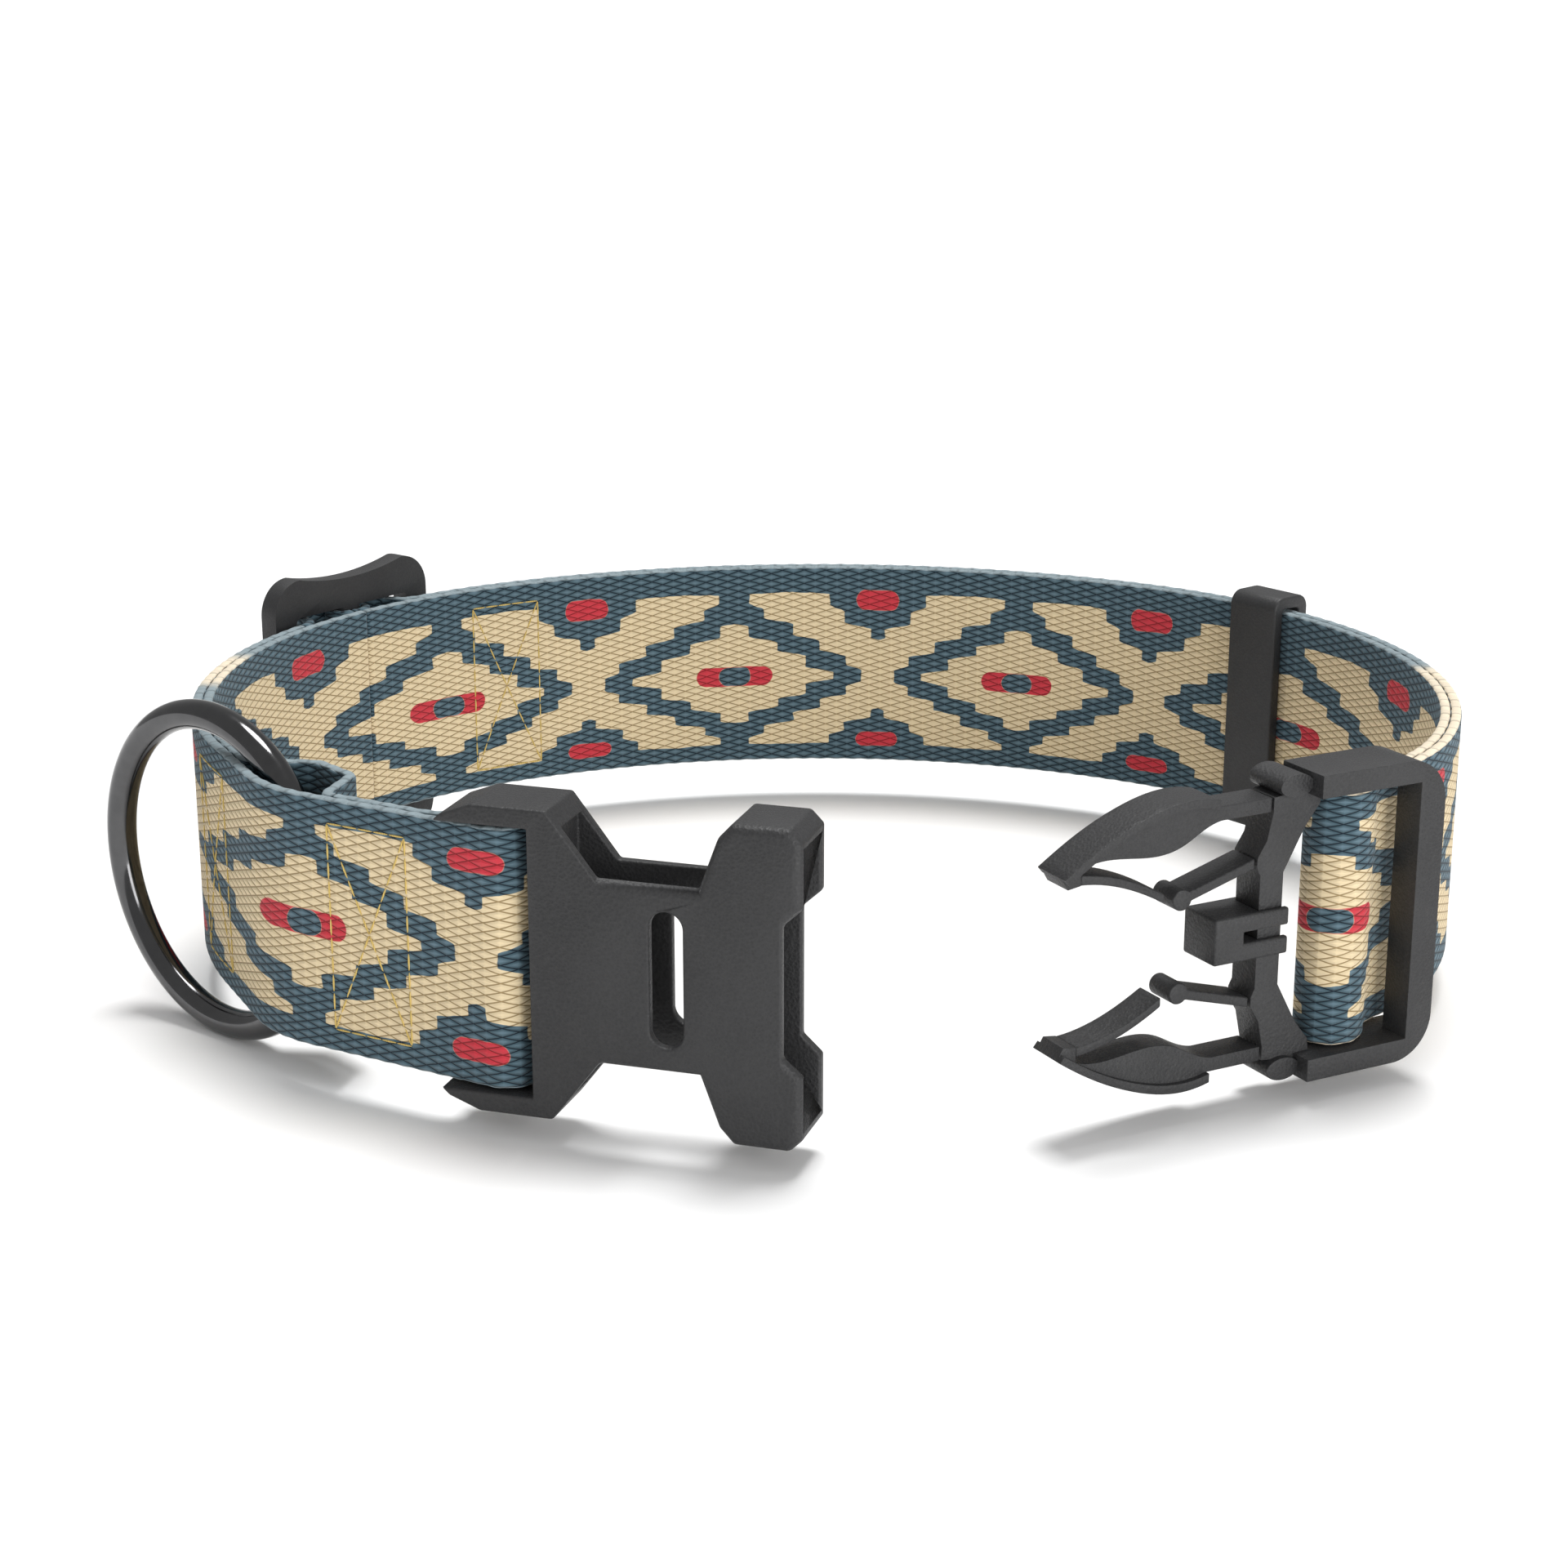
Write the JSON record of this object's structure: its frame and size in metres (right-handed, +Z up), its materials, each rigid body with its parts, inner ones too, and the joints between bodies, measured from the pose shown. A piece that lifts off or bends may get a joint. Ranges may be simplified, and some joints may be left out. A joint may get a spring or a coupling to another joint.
{
  "type": "adjustable dog collar with side-release buckle",
  "caption": "Webbing dog collar with a side-release buckle, a leash ring held in a sewn tunnel, a three-bar slide and a keeper loop, standing unclasped.",
  "frame": {"origin": "centre of the neck opening, on the surface the collar stands on", "axes": "+Z up along the webbing's width, -Y towards the buckle, +X towards the male buckle half"},
  "size_m": [0.1415, 0.1205, 0.035],
  "materials": {
    "webbing": "woven, printed pattern",
    "thread": "twisted thread",
    "ring_metal": "black nickel, polished",
    "hardware_plastic": "moulded, satin",
    "buckle_plastic": "moulded, fine leather grain"
  },
  "bodies": {
    "band": {"webbing_female_loop": "webbing", "webbing_male_loop": "webbing", "webbing_outer_left": "webbing", "webbing_slide_bridge": "webbing", "webbing_outer_right": "webbing", "webbing_inner_front": "webbing", "webbing_inner_left": "webbing", "webbing_inner_right": "webbing", "webbing_ring_tunnel": "webbing", "webbing_slide_fold": "webbing", "stitch_box_a": "thread", "stitch_box_b": "thread", "stitch_box_c": "thread"},
    "ring": {"leash_ring": "ring_metal"},
    "female_half": {"female_housing": "buckle_plastic", "female_bar": "buckle_plastic"},
    "male_half": {"male_frame": "buckle_plastic", "male_bar": "buckle_plastic", "male_guide": "buckle_plastic"},
    "upper_arm": {"upper_prong": "buckle_plastic", "upper_tip_strip": "buckle_plastic"},
    "lower_arm": {"lower_prong": "buckle_plastic", "lower_tip_strip": "buckle_plastic"},
    "upper_link": {"upper_strut": "buckle_plastic"},
    "lower_link": {"lower_strut": "buckle_plastic"},
    "slide": {"slide_frame": "hardware_plastic"},
    "keeper_loop": {"keeper": "hardware_plastic"}
  },
  "joints": [
    {"name": "ring_swing", "type": "hinge", "parent": "band", "child": "ring", "pos_m": [-0.0538, -0.03372, 0.0175], "axis": [0, 0, 1], "range_deg": [-8, 5]},
    {"name": "female_swing", "type": "hinge", "parent": "band", "child": "female_half", "pos_m": [-0.03004, -0.04999, 0.0175], "axis": [0, 0, 1], "range_deg": [-35, 40]},
    {"name": "male_swing", "type": "hinge", "parent": "band", "child": "male_half", "pos_m": [0.04819, -0.03925, 0.0175], "axis": [0, 0, 1], "range_deg": [-45, 8]},
    {"name": "slide_rock", "type": "hinge", "parent": "band", "child": "slide", "pos_m": [-0.05643, 0.03404, 0.0175], "axis": [0, 0, 1], "range_deg": [-4, 4]},
    {"name": "keeper_slide", "type": "hinge", "parent": "band", "child": "keeper_loop", "pos_m": [0.01133, -0.00074, 0.0175], "axis": [0, 0, 1], "range_deg": [-55, 13]},
    {"name": "upper_arm_press", "type": "hinge", "parent": "male_half", "child": "upper_arm", "pos_m": [0.04024, -0.04347, 0.0299], "axis": [0.4695, -0.8829, 0], "range_deg": [0, 8], "stiffness_Nm_per_rad": 0.3},
    {"name": "upper_link_press", "type": "hinge", "parent": "male_half", "child": "upper_link", "pos_m": [0.03883, -0.04422, 0.0244], "axis": [0.4695, -0.8829, 0], "range_deg": [0, 10.62]},
    {"name": "lower_arm_press", "type": "hinge", "parent": "male_half", "child": "lower_arm", "pos_m": [0.04024, -0.04347, 0.0051], "axis": [-0.4695, 0.8829, 0], "range_deg": [0, 8], "stiffness_Nm_per_rad": 0.3},
    {"name": "lower_link_press", "type": "hinge", "parent": "male_half", "child": "lower_link", "pos_m": [0.03883, -0.04422, 0.0106], "axis": [-0.4695, 0.8829, 0], "range_deg": [0, 10.62]}
  ],
  "couplings": [
    {"joint": "upper_link_press", "follows": "upper_arm_press", "ratio": 1.29},
    {"joint": "lower_link_press", "follows": "lower_arm_press", "ratio": 1.29}
  ]
}
